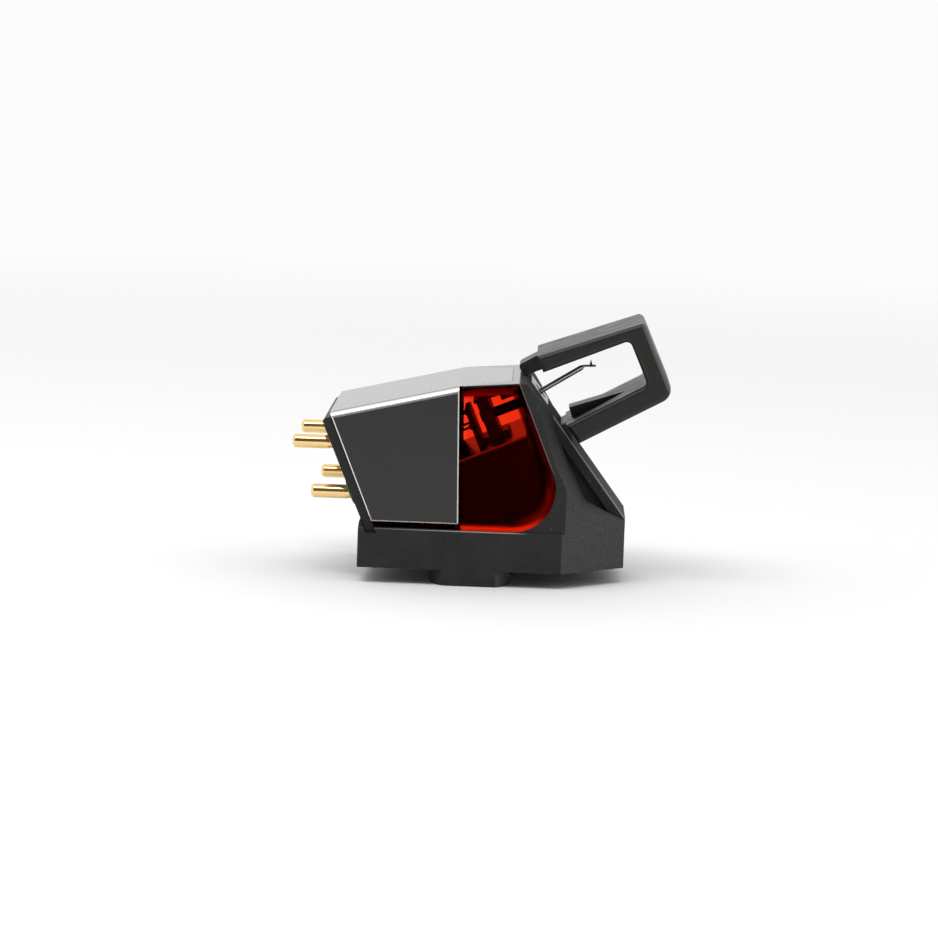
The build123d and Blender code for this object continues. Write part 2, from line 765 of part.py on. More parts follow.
def lead(name):
    """Wire from the lead board to the inner end of a pin: straight runs with round bends."""
    height, side, tip = pins()[name]
    upper = name.endswith("signal")
    spread = UPPER_LEAD_SPACING if upper else LOWER_LEAD_SPACING
    rise = UPPER_LEAD_UP if upper else LOWER_LEAD_UP
    pad_side = spread / 2 if side > 0 else -spread / 2
    pad = GENERATOR * Pos(lead_board_rear(), pad_side, rise)
    turn = GENERATOR * Pos(lead_board_rear() - LEAD_RUN, pad_side, rise)
    end = Vector(pin_tail(height), side, height)
    points = [pad.position, turn.position, end + Vector(PIN_LEAD_RUN, 0, 0), end]
    path = FilletPolyline(*points, radius=LEAD_BEND)
    start = Plane(pad.position, z_dir=turn.position - pad.position)
    return sweep(start * RegularPolygon(LEAD_RADIUS, LEAD_FLAT_COUNT), path=path)


# Stylus guard
GUARD_FLOOR_LINE = (*GUARD_FOOT, GUARD_PULL_TILT)
GUARD_END_LINE = (*along(GUARD_FLOOR_LINE, GUARD_FLOOR_LENGTH), GUARD_END_TILT)
GUARD_ROOF_LINE = (*along(GUARD_END_LINE, GUARD_END_RISE), GUARD_ROOF_TILT)


def guard_end(back):
    """Everything inside the guard's outer end face, which is rounded off towards both sides."""
    x, z, tilt = back
    turn = radians(tilt)
    frame = Plane((x, 0, z), x_dir=(sin(turn), 0, -cos(turn)), z_dir=(cos(turn), 0, sin(turn)))
    half = GUARD_WIDTH / 2 - GUARD_SHOULDER + GUARD_END_ROUND
    points = [(-BEYOND, -half), (0, -half), (0, half), (-BEYOND, half)]
    radii = [0, GUARD_END_ROUND, GUARD_END_ROUND, 0]
    plan = make_face(FilletPolyline(*points, radius=radii, close=True))
    return extrude(frame * plan, amount=BEYOND, both=True)


def guard_bar():
    """The bent bar itself: floor, end and roof, with rounded corners and edges."""
    half = GUARD_WIDTH / 2
    floor = GUARD_FLOOR_LINE
    end = GUARD_END_LINE
    roof_root = meet(GUARD_ROOF_LINE, upright(GUARD_ROOF_START))
    bottom = shift(floor, -GUARD_FLOOR_THICKNESS)
    back = shift(end, -GUARD_END_THICKNESS)
    roof_top = along((*roof_root, GUARD_ROOF_TILT + 90), GUARD_ROOF_THICKNESS)
    top = (*roof_top, GUARD_ROOF_TILT - GUARD_ROOF_TAPER)
    rest = shift(NOSE_FRONT, -GUARD_STANDOFF)
    points = [
        meet(floor, rest),
        along(end, 0),
        along(GUARD_ROOF_LINE, 0),
        roof_root,
        roof_top,
        meet(top, back),
        meet(back, bottom),
        meet(bottom, rest),
    ]
    radii = [0, GUARD_CORNER, GUARD_CORNER, 0, 0, GUARD_CORNER, GUARD_TOE_ROUND, 0]
    solid = across(outline(points, radii), half)
    rims = [edge for edge in solid.edges() if abs(abs(edge.center().Y) - half) < GUARD_EDGE / 2]
    return fillet(rims, GUARD_EDGE) & guard_end(back)


def guard_catch():
    """Tongue at the root of the roof that rests over the top of the nose."""
    under = NOSE_TOP + CATCH_GAP
    root = (*meet(GUARD_ROOF_LINE, upright(GUARD_ROOF_START)), GUARD_ROOF_TILT)
    inner = along(root, CATCH_OVERLAP)
    top = (CATCH_END, under + CATCH_RISE, CATCH_TILT)
    points = [
        meet(root, level(under)),
        inner,
        meet(top, (*inner, GUARD_ROOF_TILT + 90)),
        along(top, 0),
    ]
    return across(outline(points, [0, 0, 0, CATCH_ROUND]), CATCH_WIDTH / 2)


def guard_rib():
    """Wedge along the middle of the guard's floor."""
    end = RIB_START + RIB_LENGTH
    points = [(RIB_START, 0), (end, 0), (RIB_START + RIB_SLANT, RIB_HEIGHT)]
    half = RIB_WIDTH / 2
    face = Plane.XZ * make_face(Polyline(*points, close=True))
    return PULL * extrude(face, amount=half, both=True)


def stylus_guard():
    return guard_bar() + tenon(0) + guard_catch() + guard_rib()


def build():
    nodes = {
        "mounting_base": mounting_base(),
        "body_shell": body_shell(),
        "metal_cover": metal_cover(),
        "terminal_board": terminal_board(),
        "generator_carrier": generator_carrier(),
        "rear_yoke": rear_yoke(),
        "magnet": magnet(),
        "front_yoke": front_yoke(),
        "pole_pin": pole_pin(),
        "clamp_screw": clamp_screw(),
        "suspension_wire": suspension_wire(),
        "damper_ring": damper_ring(),
        "coil_former": coil_former(),
        "coil_left": coil(0, 0),
        "coil_right": coil(1, 90),
        "cantilever": cantilever(),
        "stylus": stylus(),
        "lead_board": lead_board(),
        "stylus_guard": stylus_guard(),
    }
    for name, (height, side, tip) in pins().items():
        nodes[f"pin_{name}"] = pin(height, side, tip)
        nodes[f"collar_{name}"] = collar(height, side)
        nodes[f"lead_{name}"] = lead(name)
    return nodes


os.makedirs("parts", exist_ok=True)
for node, solid in build().items():
    export_step(solid, f"parts/{node}.step")
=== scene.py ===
import bpy
import bmesh
from math import cos, pi, radians, sin
from mathutils import Matrix, Vector


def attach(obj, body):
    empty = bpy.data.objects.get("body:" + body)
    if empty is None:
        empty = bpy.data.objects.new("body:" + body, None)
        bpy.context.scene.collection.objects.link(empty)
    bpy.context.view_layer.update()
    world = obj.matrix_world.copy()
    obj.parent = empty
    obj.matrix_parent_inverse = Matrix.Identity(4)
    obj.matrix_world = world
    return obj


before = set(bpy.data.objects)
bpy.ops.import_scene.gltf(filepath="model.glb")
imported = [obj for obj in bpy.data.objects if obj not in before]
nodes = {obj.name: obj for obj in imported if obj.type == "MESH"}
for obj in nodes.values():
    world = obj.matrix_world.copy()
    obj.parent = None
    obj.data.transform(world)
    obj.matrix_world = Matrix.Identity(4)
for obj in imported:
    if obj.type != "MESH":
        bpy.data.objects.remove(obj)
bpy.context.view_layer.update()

# Mounting base. One black moulding carries the whole cartridge: slab, hollow-cheeked nose and
# two bosses. It is glass-filled nylon from a spark-eroded tool, so it is matte and specked. Its
# low forward-facing faces are painted lighter, with paler and denser specks: painted light. Pale
# lines along the flange's edge and the edges along the housing are painted highlights.
MM = 0.001


def colour(code):
    """Linear colour for a shader socket from an sRGB hex value."""
    parts = [int(code[i:i + 2], 16) / 255 for i in (0, 2, 4)]
    return [p / 12.92 if p <= 0.04045 else ((p + 0.055) / 1.055) ** 2.4 for p in parts] + [1]


def add(tree, kind, inputs, **settings):
    """A shader node with its settings; an input is a value or another node's output.

    Inputs 1 and 2 of a Map Range node are the ends that it starts from, 3 and 4 what they become.
    Inputs 6 and 7 of a Mix node are its two colours, and its output 2 is the mixed one.
    """
    made = tree.nodes.new(kind)
    for name, value in settings.items():
        setattr(made, name, value)
    for name, value in inputs.items():
        if isinstance(value, bpy.types.NodeSocket):
            tree.links.new(value, made.inputs[name])
        else:
            made.inputs[name].default_value = value
    return made


def new_material(name):
    """An empty material, its node tree and the object coordinates that its patterns use."""
    material = bpy.data.materials.new(name)
    material.use_nodes = True
    material.node_tree.nodes.clear()
    place = add(material.node_tree, "ShaderNodeTexCoord", {})
    return material, material.node_tree, place.outputs["Object"]


def dress(material, *names):
    """Gives CAD nodes a material."""
    for name in names:
        nodes[name].data.materials.clear()
        nodes[name].data.materials.append(material)


# The grain is finer than a pixel, so it is drawn as coarse as it needs to show.
GRAIN = 0.14 * MM
GRAIN_DEPTH = 0.03 * MM
MOTTLE = 1.6 * MM
SOFT_EDGE = 0.12 * MM
# Most of a noise pattern lies between these two values.
NOISE_LOW = 0.3
NOISE_HIGH = 0.7
SLAB_TOP = 4.8 * MM
FRONT_LEAN = radians(22.6)
FRONT_FOOT = 9.08 * MM
FRONT_REACH = FRONT_FOOT * cos(FRONT_LEAN) + SLAB_TOP * sin(FRONT_LEAN)
NOSE_BLEND = 0.1 * MM
SLAB_SPECKS = 0.15
SPECK_FROM = 0.58
SPECK_FULL = 0.84
FORWARD_FROM = 0.05
FORWARD_FULL = 0.45
LIT_FRONT_TOP = 11 * MM
LIT_FRONT_FULL = 6.5 * MM
LIT_FRONT_LEAST = 0.15
base_nylon, tree, place = new_material("black_glass_filled_nylon")
grain = add(tree, "ShaderNodeTexNoise", {
    "Vector": place, "Scale": 1 / GRAIN, "Detail": 2.0, "Roughness": 0.6,
})
mottle = add(tree, "ShaderNodeTexNoise", {
    "Vector": place, "Scale": 1 / MOTTLE, "Detail": 3.0, "Roughness": 0.6,
})
across = add(tree, "ShaderNodeSeparateXYZ", {0: place})
on_nose = add(tree, "ShaderNodeMapRange", {
    0: across.outputs[2], 1: SLAB_TOP - NOSE_BLEND, 2: SLAB_TOP, 3: SLAB_SPECKS, 4: 1.0,
})
fleck = add(tree, "ShaderNodeMapRange", {
    0: grain.outputs[0], 1: SPECK_FROM, 2: SPECK_FULL, 3: 0.0, 4: 1.0,
})
facing = add(tree, "ShaderNodeTexCoord", {})
parts = add(tree, "ShaderNodeSeparateXYZ", {0: facing.outputs["Normal"]})
# Low faces that look forward are painted lighter, grainier and more specked: painted light.
forward_face = add(tree, "ShaderNodeMapRange", {
    0: parts.outputs[0], 1: FORWARD_FROM, 2: FORWARD_FULL, 3: 0.0, 4: 1.0,
})
low_down = add(tree, "ShaderNodeMapRange", {
    0: across.outputs[2], 1: LIT_FRONT_TOP, 2: LIT_FRONT_FULL, 3: LIT_FRONT_LEAST, 4: 1.0,
})
lit_front = add(tree, "ShaderNodeMath", {
    0: forward_face.outputs[0], 1: low_down.outputs[0],
}, operation="MULTIPLY")
nose_specks_and_lit_front = add(tree, "ShaderNodeMath", {
    0: on_nose.outputs[0], 1: lit_front.outputs[0],
}, operation="MAXIMUM")
# The specks are the nylon's own grain on the nose, and painted light on the low forward faces.
speck_and_painted_light = add(tree, "ShaderNodeMath", {
    0: fleck.outputs[0], 1: nose_specks_and_lit_front.outputs[0],
}, operation="MULTIPLY")
smooth = add(tree, "ShaderNodeMix", {
    0: mottle.outputs[0], 6: colour("2a2a2b"), 7: colour("39393a"),
}, data_type="RGBA")
lit_front_grain = add(tree, "ShaderNodeMix", {
    0: grain.outputs[0], 6: colour("323233"), 7: colour("58585a"),
}, data_type="RGBA")
ground = add(tree, "ShaderNodeMix", {
    0: lit_front.outputs[0], 6: smooth.outputs[2], 7: lit_front_grain.outputs[2],
}, data_type="RGBA")
specked = add(tree, "ShaderNodeMix", {
    0: speck_and_painted_light.outputs[0], 6: ground.outputs[2], 7: colour("5a5c5c"),
}, data_type="RGBA")

# The flange's edge is found by how far it looks to the side and ahead. It is painted pale there,
# a painted highlight.
FLANGE_EDGE_SIDE = 0.707
FLANGE_SIDE_SPAN = 0.03
FLANGE_EDGE_AHEAD = 0.565
FLANGE_AHEAD_SPAN = 0.05
sideways = add(tree, "ShaderNodeMath", {0: parts.outputs[1]}, operation="ABSOLUTE")
slanted = add(tree, "ShaderNodeMath", {
    0: sideways.outputs[0], 1: FLANGE_EDGE_SIDE, 2: FLANGE_SIDE_SPAN,
}, operation="COMPARE")
forward = add(tree, "ShaderNodeMath", {
    0: parts.outputs[0], 1: FLANGE_EDGE_AHEAD, 2: FLANGE_AHEAD_SPAN,
}, operation="COMPARE")
painted_highlight = add(tree, "ShaderNodeMath", {
    0: slanted.outputs[0], 1: forward.outputs[0],
}, operation="MULTIPLY")
# Pale mixed in along the flange's edge: a painted highlight.
worn = add(tree, "ShaderNodeMix", {
    0: painted_highlight.outputs[0], 6: specked.outputs[2], 7: colour("868684"),
}, data_type="RGBA")

# The slab's painted highlight line ends just short of its top face, and is faint at the rear.
EDGE_LINE = 0.1 * MM
EDGE_LINE_SPAN = 0.45 * EDGE_LINE
LINE_REAR = -9 * MM
LINE_FULL = -1 * MM
LINE_FADE = 3.6 * MM
LINE_END = 5.0 * MM
LINE_FAINT = 0.1
LINE_STRONG = 0.75
slab_edge = add(tree, "ShaderNodeMath", {
    0: across.outputs[2], 1: SLAB_TOP - EDGE_LINE / 2, 2: EDGE_LINE_SPAN,
}, operation="COMPARE")
from_rear = add(tree, "ShaderNodeMapRange", {
    0: across.outputs[0], 1: LINE_REAR, 2: LINE_FULL, 3: LINE_FAINT, 4: LINE_STRONG,
})
to_corner = add(tree, "ShaderNodeMapRange", {
    0: across.outputs[0], 1: LINE_FADE, 2: LINE_END, 3: 1.0, 4: 0.0,
})
under_housing = add(tree, "ShaderNodeMath", {
    0: from_rear.outputs[0], 1: to_corner.outputs[0],
}, operation="MULTIPLY")
slab_highlight = add(tree, "ShaderNodeMath", {
    0: slab_edge.outputs[0], 1: under_housing.outputs[0],
}, operation="MULTIPLY")

# The nose's painted highlight line runs up beside the housing's leaning front.
NOSE_LINE = 0.08 * MM
NOSE_LINE_FOOT = 9.8 * MM
NOSE_LINE_FULL = 11 * MM
NOSE_LINE_STRONG = 0.3
to_nose = add(tree, "ShaderNodeVectorMath", {
    0: place, 1: (cos(FRONT_LEAN), 0, sin(FRONT_LEAN)),
}, operation="DOT_PRODUCT")
nose_edge = add(tree, "ShaderNodeMath", {
    0: to_nose.outputs["Value"], 1: FRONT_REACH + NOSE_LINE / 2, 2: NOSE_LINE / 2,
}, operation="COMPARE")
up_nose = add(tree, "ShaderNodeMapRange", {
    0: across.outputs[2], 1: NOSE_LINE_FOOT, 2: NOSE_LINE_FULL, 3: 0.0, 4: NOSE_LINE_STRONG,
})
nose_highlight = add(tree, "ShaderNodeMath", {
    0: nose_edge.outputs[0], 1: up_nose.outputs[0],
}, operation="MULTIPLY")
# Both lines are painted highlights, mixed in pale below.
lines = add(tree, "ShaderNodeMath", {
    0: slab_highlight.outputs[0], 1: nose_highlight.outputs[0],
}, operation="MAXIMUM")
tone = add(tree, "ShaderNodeMix", {
    0: lines.outputs[0], 6: worn.outputs[2], 7: colour("b4acab"),
}, data_type="RGBA")
sheen = add(tree, "ShaderNodeMapRange", {
    0: grain.outputs[0], 1: NOISE_LOW, 2: NOISE_HIGH, 3: 0.9, 4: 0.72,
})
softened = add(tree, "ShaderNodeBevel", {"Radius": SOFT_EDGE}, samples=6)
relief = add(tree, "ShaderNodeBump", {
    "Strength": 0.4,
    "Distance": GRAIN_DEPTH,
    "Height": grain.outputs[0],
    "Normal": softened.outputs[0],
})
shader = add(tree, "ShaderNodeBsdfPrincipled", {
    "Base Color": tone.outputs[2],
    "Roughness": sheen.outputs[0],
    "IOR": 1.5,
    "Specular IOR Level": 0.12,
    "Normal": relief.outputs[0],
})
add(tree, "ShaderNodeOutputMaterial", {"Surface": shader.outputs[0]})
dress(base_nylon, "mounting_base")

# Threads of the two mounting holes. Each blind hole is tapped M2.5 for a headshell screw.
# The solid has the plain tapping hole, so the thread is drawn as a ridge on its wall.
HOLE_SIDE = 6.35 * MM
HOLE_RADIUS = 1.025 * MM
PITCH = 0.45 * MM
RIDGE = 0.12 * MM
RIDGE_CORNERS = 3
THREAD_TURNS = 8
STEPS_PER_TURN = 24
thread = bmesh.new()
for side in (-1, 1):
    ring = bmesh.ops.create_circle(thread, cap_ends=True, segments=RIDGE_CORNERS, radius=RIDGE)
    corners = ring["verts"]
    bmesh.ops.rotate(thread, verts=corners, matrix=Matrix.Rotation(pi / 2, 3, "X"))
    bmesh.ops.rotate(thread, verts=corners, matrix=Matrix.Rotation(-pi / 2, 3, "Y"))
    bmesh.ops.translate(thread, verts=corners, vec=(HOLE_RADIUS, side * HOLE_SIDE, PITCH / 2))
    edges = list({edge for corner in corners for edge in corner.link_edges})
    faces = list({face for corner in corners for face in corner.link_faces})
    bmesh.ops.spin(
        thread,
        geom=corners + edges + faces,
        cent=(0, side * HOLE_SIDE, 0),
        axis=(0, 0, 1),
        dvec=(0, 0, PITCH / STEPS_PER_TURN),
        angle=2 * pi * THREAD_TURNS,
        steps=STEPS_PER_TURN * THREAD_TURNS,
    )
bmesh.ops.recalc_face_normals(thread, faces=thread.faces)
mesh = bpy.data.meshes.new("tapped_threads")
thread.to_mesh(mesh)
thread.free()
mesh.materials.append(base_nylon)
tapped_threads = bpy.data.objects.new("tapped_threads", mesh)
bpy.context.collection.objects.link(tapped_threads)
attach(tapped_threads, "cartridge")

# Red housing. A see-through box of dyed polycarbonate, polished in the mould and set down on
# the base, open at the rear. Light behind comes through its sides. Its lower front rim is painted
# opaque red as a painted glow, and its front and top walls pass a darker red, painted shade.
FLOW = 2.5 * MM
FLOW_DEPTH = 0.02 * MM
ROOF_SLOPE = radians(4.7)
ROOF_BEND = (-1.37 * MM, 17.2 * MM)
ROOF_REACH = ROOF_BEND[1] * cos(ROOF_SLOPE) - ROOF_BEND[0] * sin(ROOF_SLOPE)
DYE_DENSITY = 2000.0
housing_red, tree, place = new_material("red_dyed_polycarbonate")
flow = add(tree, "ShaderNodeTexNoise", {"Vector": place, "Scale": 1 / FLOW, "Detail": 2.0})
haze = add(tree, "ShaderNodeMapRange", {
    0: flow.outputs[0], 1: NOISE_LOW, 2: NOISE_HIGH, 3: 0.01, 4: 0.04,
})
relief = add(tree, "ShaderNodeBump", {
    "Strength": 0.1, "Distance": FLOW_DEPTH, "Height": flow.outputs[0],
})
axes = add(tree, "ShaderNodeSeparateXYZ", {0: place})
to_front = add(tree, "ShaderNodeVectorMath", {
    0: place, 1: (-cos(FRONT_LEAN), 0, -sin(FRONT_LEAN)),
}, operation="DOT_PRODUCT")
to_roof = add(tree, "ShaderNodeVectorMath", {
    0: place, 1: (sin(ROOF_SLOPE), 0, -cos(ROOF_SLOPE)),
}, operation="DOT_PRODUCT")
behind_front = add(tree, "ShaderNodeMath", {0: to_front.outputs["Value"], 1: FRONT_REACH})
under_roof = add(tree, "ShaderNodeMath", {0: to_roof.outputs["Value"], 1: ROOF_REACH})
above_base = add(tree, "ShaderNodeMath", {
    0: axes.outputs[2], 1: SLAB_TOP,
}, operation="SUBTRACT")

# The lit rim's depth is measured in from the floor and from the round front corner alike.
CORNER_RADIUS = 3.75 * MM
CORNER_CENTRE = FRONT_FOOT - CORNER_RADIUS * (1 + sin(FRONT_LEAN)) / cos(FRONT_LEAN)
RIM_INNER = 0.5 * MM
RIM_OUTER = 0.28 * MM
RIM_TOP = 6.6 * MM
RIM_FULL = 5.2 * MM
past_corner = add(tree, "ShaderNodeMath", {
    0: axes.outputs[0], 1: CORNER_CENTRE,
}, operation="SUBTRACT")
into_corner = add(tree, "ShaderNodeMath", {0: past_corner.outputs[0], 1: 0.0}, operation="MAXIMUM")
over_corner = add(tree, "ShaderNodeMath", {
    0: above_base.outputs[0], 1: CORNER_RADIUS,
}, operation="SUBTRACT")
arm = add(tree, "ShaderNodeCombineXYZ", {0: into_corner.outputs[0], 2: over_corner.outputs[0]})
from_centre = add(tree, "ShaderNodeVectorMath", {0: arm.outputs[0]}, operation="LENGTH")
depth = add(tree, "ShaderNodeMath", {
    0: CORNER_RADIUS, 1: from_centre.outputs["Value"],
}, operation="SUBTRACT")
strip = add(tree, "ShaderNodeMapRange", {
    0: depth.outputs[0], 1: RIM_INNER, 2: RIM_OUTER, 3: 0.0, 4: 1.0,
})
strip_low = add(tree, "ShaderNodeMapRange", {
    0: axes.outputs[2], 1: RIM_TOP, 2: RIM_FULL, 3: 0.0, 4: 1.0,
})
low_strip = add(tree, "ShaderNodeMath", {
    0: strip.outputs[0], 1: strip_low.outputs[0],
}, operation="MULTIPLY")

# A weaker painted glow spreads inwards from the rim in the corner and fades up the front. Both
# stop at the cover.
GLOW_ROUNDING = 9.2 * MM
GLOW_INNER = 0.8 * MM
GLOW_OUTER = 0.35 * MM
GLOW_STRENGTH = 0.17
GLOW_TOP = 12 * MM
GLOW_FOOT = 6 * MM
GLOW_TOP_SHARE = 0.12
GLOW_REAR = 3.5 * MM
GLOW_FRONT = 6.0 * MM
GLOW_REAR_SHARE = 0.05
COVER_FRONT = -1.0 * MM
COVER_CLEAR = -0.7 * MM
inside = add(tree, "ShaderNodeMath", {
    0: behind_front.outputs[0], 1: above_base.outputs[0], 2: GLOW_ROUNDING,
}, operation="SMOOTH_MIN")
glow = add(tree, "ShaderNodeMapRange", {
    0: inside.outputs[0], 1: GLOW_INNER, 2: GLOW_OUTER, 3: 0.0, 4: GLOW_STRENGTH,
})
glow_low = add(tree, "ShaderNodeMapRange", {
    0: axes.outputs[2], 1: GLOW_TOP, 2: GLOW_FOOT, 3: GLOW_TOP_SHARE, 4: 1.0,
})
glow_ahead = add(tree, "ShaderNodeMapRange", {
    0: axes.outputs[0], 1: GLOW_REAR, 2: GLOW_FRONT, 3: GLOW_REAR_SHARE, 4: 1.0,
})
ahead_of_cover = add(tree, "ShaderNodeMapRange", {
    0: axes.outputs[0], 1: COVER_FRONT, 2: COVER_CLEAR, 3: 0.0, 4: 1.0,
})
low_glow = add(tree, "ShaderNodeMath", {
    0: glow.outputs[0], 1: glow_low.outputs[0],
}, operation="MULTIPLY")
corner_glow = add(tree, "ShaderNodeMath", {
    0: low_glow.outputs[0], 1: glow_ahead.outputs[0],
}, operation="MULTIPLY")
lit = add(tree, "ShaderNodeMath", {
    0: low_strip.outputs[0], 1: corner_glow.outputs[0],
}, operation="MAXIMUM")
# Where the painted glow lies, the plastic is made opaque and red.
painted_glow = add(tree, "ShaderNodeMath", {
    0: lit.outputs[0], 1: ahead_of_cover.outputs[0],
}, operation="MULTIPLY")
see_through = add(tree, "ShaderNodeMath", {0: 1.0, 1: painted_glow.outputs[0]}, operation="SUBTRACT")

# The front and top walls pass a darker red, painted shade for the long path through the plastic.
# The rim's painted glow has its own red, painted dark high up and bright near the base.
FRONT_EDGE_INNER = 1.0 * MM
FRONT_EDGE_OUTER = 0.75 * MM
ROOF_EDGE_INNER = 1.1 * MM
ROOF_EDGE_OUTER = 0.7 * MM
GLOW_LEAST = 0.004
RIM_DARK_HEIGHT = 9.0 * MM
RIM_RED_HEIGHT = 5.3 * MM
front_edge = add(tree, "ShaderNodeMapRange", {
    0: behind_front.outputs[0], 1: FRONT_EDGE_INNER, 2: FRONT_EDGE_OUTER, 3: 0.0, 4: 1.0,
})
roof_edge = add(tree, "ShaderNodeMapRange", {
    0: under_roof.outputs[0], 1: ROOF_EDGE_INNER, 2: ROOF_EDGE_OUTER, 3: 0.0, 4: 1.0,
})
edge_shade = add(tree, "ShaderNodeMath", {
    0: front_edge.outputs[0], 1: roof_edge.outputs[0],
}, operation="MAXIMUM")
clear = add(tree, "ShaderNodeMix", {
    0: edge_shade.outputs[0], 6: colour("fff2ee"), 7: colour("661812"),
}, data_type="RGBA")
glow_share = add(tree, "ShaderNodeMapRange", {
    0: painted_glow.outputs[0], 1: 0.0, 2: GLOW_LEAST, 3: 0.0, 4: 1.0,
})
near_base = add(tree, "ShaderNodeMapRange", {
    0: axes.outputs[2], 1: RIM_DARK_HEIGHT, 2: RIM_RED_HEIGHT, 3: 0.0, 4: 1.0,
})
rim = add(tree, "ShaderNodeMix", {
    0: near_base.outputs[0], 6: colour("4c0c06"), 7: colour("ff2606"),
}, data_type="RGBA")
tone = add(tree, "ShaderNodeMix", {
    0: glow_share.outputs[0], 6: clear.outputs[2], 7: rim.outputs[2],
}, data_type="RGBA")
shader = add(tree, "ShaderNodeBsdfPrincipled", {
    "Base Color": tone.outputs[2],
    "Roughness": haze.outputs[0],
    "IOR": 1.5,
    "Specular Tint": colour("3e0e0a"),
    "Transmission Weight": see_through.outputs[0],
    "Normal": relief.outputs[0],
})
dye = add(tree, "ShaderNodeVolumeAbsorption", {"Color": colour("fd951d"), "Density": DYE_DENSITY})
add(tree, "ShaderNodeOutputMaterial", {"Surface": shader.outputs[0], "Volume": dye.outputs[0]})
dress(housing_red, "body_shell")

# Carrier. A black moulded block that fills the lower front of the housing. Its sloping top
# carries the generator at a tilt. A pale line along the upper edges of its sides is a painted
# highlight.
PORE = 0.3 * MM
PORE_DEPTH = 0.02 * MM
GENERATOR_TILT = radians(23)
SLOPE_HEIGHT = 10.343 * MM
HIGHLIGHT_FROM = 0.22 * MM
HIGHLIGHT_FULL = 0.08 * MM
SIDE_FACING = 0.9
carrier_abs, tree, place = new_material("black_moulded_abs")
pores = add(tree, "ShaderNodeTexNoise", {"Vector": place, "Scale": 1 / PORE, "Detail": 3.0})
black = add(tree, "ShaderNodeMix", {
    0: pores.outputs[0], 6: colour("080607"), 7: colour("0f0c0d"),
}, data_type="RGBA")
facing = add(tree, "ShaderNodeTexCoord", {})
parts = add(tree, "ShaderNodeSeparateXYZ", {0: facing.outputs["Normal"]})
sideways = add(tree, "ShaderNodeMath", {0: parts.outputs[1]}, operation="ABSOLUTE")
on_side = add(tree, "ShaderNodeMath", {
    0: sideways.outputs[0], 1: SIDE_FACING,
}, operation="GREATER_THAN")
up_slope = add(tree, "ShaderNodeVectorMath", {
    0: place, 1: (-sin(GENERATOR_TILT), 0, cos(GENERATOR_TILT)),
}, operation="DOT_PRODUCT")
upper_edge = add(tree, "ShaderNodeMapRange", {
    0: up_slope.outputs["Value"],
    1: SLOPE_HEIGHT - HIGHLIGHT_FROM,
    2: SLOPE_HEIGHT - HIGHLIGHT_FULL,
    3: 0.0,
    4: 1.0,
})
carrier_highlight = add(tree, "ShaderNodeMath", {
    0: upper_edge.outputs[0], 1: on_side.outputs[0],
}, operation="MULTIPLY")
# The pale line mixed in along the upper side edges is a painted highlight.
tone = add(tree, "ShaderNodeMix", {
    0: carrier_highlight.outputs[0], 6: black.outputs[2], 7: colour("a08c86"),
}, data_type="RGBA")
relief = add(tree, "ShaderNodeBump", {
    "Strength": 0.1, "Distance": PORE_DEPTH, "Height": pores.outputs[0],
})
shader = add(tree, "ShaderNodeBsdfPrincipled", {
    "Base Color": tone.outputs[2],
    "Roughness": 0.2,
    "IOR": 1.54,
    "Specular IOR Level": 0.08,
    "Normal": relief.outputs[0],
})
add(tree, "ShaderNodeOutputMaterial", {"Surface": shader.outputs[0]})
dress(carrier_abs, "generator_carrier")

# Rear yoke, pole pin and magnet. Soft iron blacked in hot oil, and a bar of sintered cobalt
# magnet ground flat: both dark, with fine lines left by the cutter.
CUTTER_LINE = 0.08 * MM
CUTTER_STRETCH = 0.12
blacked_iron, tree, place = new_material("oil_blacked_iron")
stretched = add(tree, "ShaderNodeMapping", {"Vector": place, "Scale": (CUTTER_STRETCH, 1.0, 1.0)})
lines = add(tree, "ShaderNodeTexNoise", {
    "Vector": stretched.outputs[0], "Scale": 1 / CUTTER_LINE, "Detail": 2.0,
})
tone = add(tree, "ShaderNodeMix", {
    0: lines.outputs[0], 6: colour("151414"), 7: colour("2a2828"),
}, data_type="RGBA")
worn = add(tree, "ShaderNodeMapRange", {
    0: lines.outputs[0], 1: NOISE_LOW, 2: NOISE_HIGH, 3: 0.35, 4: 0.5,
})
shader = add(tree, "ShaderNodeBsdfPrincipled", {
    "Base Color": tone.outputs[2],
    "Metallic": 0.6,
    "Roughness": worn.outputs[0],
})
add(tree, "ShaderNodeOutputMaterial", {"Surface": shader.outputs[0]})
dress(blacked_iron, "rear_yoke", "pole_pin", "magnet")

# Front yoke and coil former. Soft iron, milled and nickel-flashed, so both are satin light
# grey. The plate sits in the sloping front of the nose round the cantilever.
MILLING_DEPTH = 0.01 * MM
nickelled_iron, tree, place = new_material("nickel_flashed_iron")
stretched = add(tree, "ShaderNodeMapping", {"Vector": place, "Scale": (1.0, CUTTER_STRETCH, 1.0)})
lines = add(tree, "ShaderNodeTexNoise", {
    "Vector": stretched.outputs[0], "Scale": 1 / CUTTER_LINE, "Detail": 2.0,
})
tone = add(tree, "ShaderNodeMix", {
    0: lines.outputs[0], 6: colour("8c8885"), 7: colour("b4b0ac"),
}, data_type="RGBA")
worn = add(tree, "ShaderNodeMapRange", {
    0: lines.outputs[0], 1: NOISE_LOW, 2: NOISE_HIGH, 3: 0.28, 4: 0.42,
})
relief = add(tree, "ShaderNodeBump", {
    "Strength": 0.2, "Distance": MILLING_DEPTH, "Height": lines.outputs[0],
})
shader = add(tree, "ShaderNodeBsdfPrincipled", {
    "Base Color": tone.outputs[2],
    "Metallic": 1.0,
    "Roughness": worn.outputs[0],
    "Normal": relief.outputs[0],
})
add(tree, "ShaderNodeOutputMaterial", {"Surface": shader.outputs[0]})
dress(nickelled_iron, "front_yoke", "coil_former")

